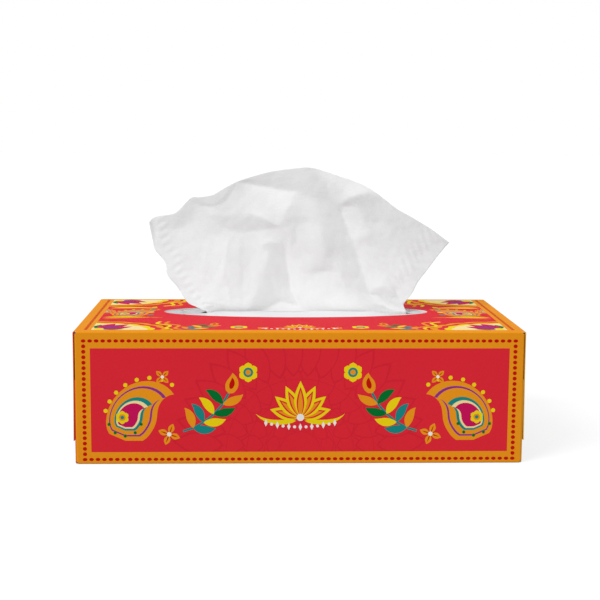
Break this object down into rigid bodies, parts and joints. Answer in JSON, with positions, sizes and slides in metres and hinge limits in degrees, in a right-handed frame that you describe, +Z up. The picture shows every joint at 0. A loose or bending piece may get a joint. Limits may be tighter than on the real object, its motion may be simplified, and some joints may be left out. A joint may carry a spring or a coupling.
{
  "type": "tissue box",
  "caption": "Flat rectangular paperboard carton of facial tissues with an oval window in its top panel, a slit film under it and one tissue standing half drawn out.",
  "frame": {"origin": "on the underside, below the middle of the box", "axes": "+X along the front panel, left to right; +Y from the front panel to the back panel; +Z up, the way the tissue is drawn"},
  "size_m": [0.2118, 0.112, 0.1368],
  "materials": {
    "printed_board": "satin varnish over printed red and gold ink, bare white board inside",
    "milky_film": "thin milky polyethylene, soft sheen",
    "tissue_paper": "matt white two-ply tissue"
  },
  "bodies": {
    "root": {"carton": "printed_board", "slit_film": "milky_film", "tissue_pile": "tissue_paper", "leading_tissue": "tissue_paper"}
  },
  "joints": []
}
